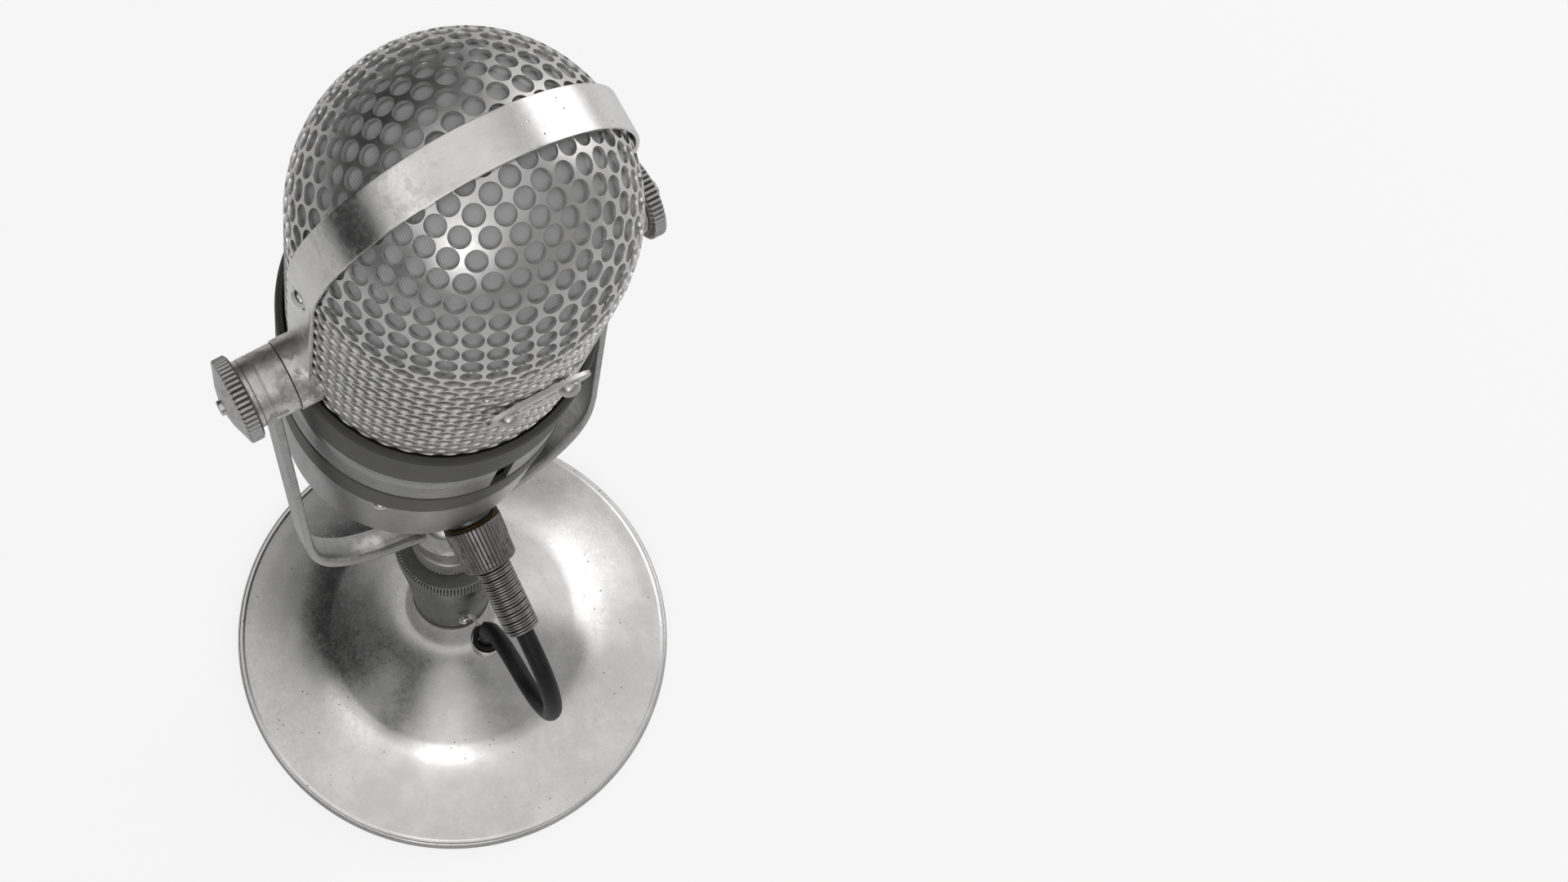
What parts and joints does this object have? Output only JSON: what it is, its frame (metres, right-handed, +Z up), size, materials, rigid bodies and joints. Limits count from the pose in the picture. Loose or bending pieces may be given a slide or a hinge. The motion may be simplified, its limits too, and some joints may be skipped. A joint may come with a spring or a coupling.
{
  "type": "ribbon microphone",
  "caption": "Desk ribbon microphone: perforated dome head tilting in a swivelling U yoke on a weighted round base, with a short looped cord.",
  "frame": {"origin": "centre of the underside of the base, on the surface the microphone stands on", "axes": "+Z up along the stand; X along the tilt axis of the head; the front of the head faces -Y and the cord leaves at +Y"},
  "size_m": [0.168, 0.168, 0.4338],
  "materials": {
    "base_steel": "satin worn nickel-plated steel",
    "grille_steel": "worn satin plated steel, perforated",
    "shell_steel": "satin brushed",
    "nickel": "worn satin nickel plate",
    "screw_steel": "bright",
    "nut_steel": "worn, grimy in the grooves",
    "dark_steel": "dark satin",
    "collar_enamel": "matte umber grey enamel",
    "badge_silver": "bright",
    "badge_red": "semi-gloss enamel",
    "rubber": "satin black",
    "gauze": "fine woven gauze",
    "felt": "felt",
    "weight_iron": "rough",
    "brass": "satin",
    "foil": "corrugated foil"
  },
  "bodies": {
    "stand": {"base": "base_steel", "base_weight": "weight_iron", "base_felt": "felt", "base_bottom_plate": "dark_steel", "stand_tube": "dark_steel", "tube_nut": "brass", "neck_ring": "dark_steel"},
    "column": {"cup": "dark_steel", "threaded_stud": "screw_steel", "knurled_ring": "dark_steel", "yoke": "nickel", "barrel_right": "nickel", "barrel_left": "nickel", "washer_right": "nickel", "washer_left": "nickel", "cord_clip": "screw_steel", "cord_clip_liner": "rubber", "cord_clip_screw": "screw_steel", "cord": "rubber"},
    "lock_ring": {"lock_ring": "dark_steel"},
    "knob_right": {"knob_right": "nickel"},
    "knob_left": {"knob_left": "nickel"},
    "coupling_nut": {"coupling_nut": "nut_steel"},
    "head": {"grille": "grille_steel", "grille_lining": "gauze", "strap": "nickel", "boss_right": "nickel", "boss_left": "nickel", "pivot_pin_right": "screw_steel", "pivot_pin_left": "screw_steel", "strap_screw_right": "screw_steel", "strap_screw_left": "screw_steel", "collar_upper": "collar_enamel", "name_band": "nickel", "collar_lower": "collar_enamel", "chassis_tube": "dark_steel", "shell": "shell_steel", "shell_screw_1": "screw_steel", "shell_screw_2": "screw_steel", "shell_screw_3": "screw_steel", "shell_screw_4": "screw_steel", "badge_rim": "badge_silver", "badge_face": "badge_red", "back_plate": "nickel", "plate_screw_right": "screw_steel", "plate_screw_left": "screw_steel", "ribbon": "foil", "ribbon_clamp_bottom": "brass", "ribbon_clamp_top": "brass", "pole_piece_right": "dark_steel", "pole_piece_left": "dark_steel", "magnet": "weight_iron", "motor_deck": "brass", "transformer": "weight_iron", "receptacle": "nickel", "spring_sleeve": "screw_steel"}
  },
  "joints": [
    {"name": "column_swivel", "type": "hinge", "parent": "stand", "child": "column", "pos_m": [0, 0, 0.0634], "axis": [0, 0, 1], "range_deg": [-170, 170]},
    {"name": "lock_ring_turn", "type": "hinge", "parent": "column", "child": "lock_ring", "pos_m": [0, 0, 0.12], "axis": [0, 0, 1], "range_deg": [-180, 180]},
    {"name": "head_tilt", "type": "hinge", "parent": "column", "child": "head", "pos_m": [0, 0, 0.325], "axis": [1, 0, 0], "range_deg": [-8, 12], "deforming": ["cord"]},
    {"name": "knob_right_turn", "type": "hinge", "parent": "head", "child": "knob_right", "pos_m": [0.055, 0, 0.325], "axis": [1, 0, 0], "range_deg": [-180, 180]},
    {"name": "knob_left_turn", "type": "hinge", "parent": "head", "child": "knob_left", "pos_m": [-0.055, 0, 0.325], "axis": [1, 0, 0], "range_deg": [-180, 180]},
    {"name": "coupling_nut_turn", "type": "hinge", "parent": "head", "child": "coupling_nut", "pos_m": [0, 0.01002, 0.19025], "axis": [0, 0.8652, -0.5015], "range_deg": [-180, 180]}
  ]
}
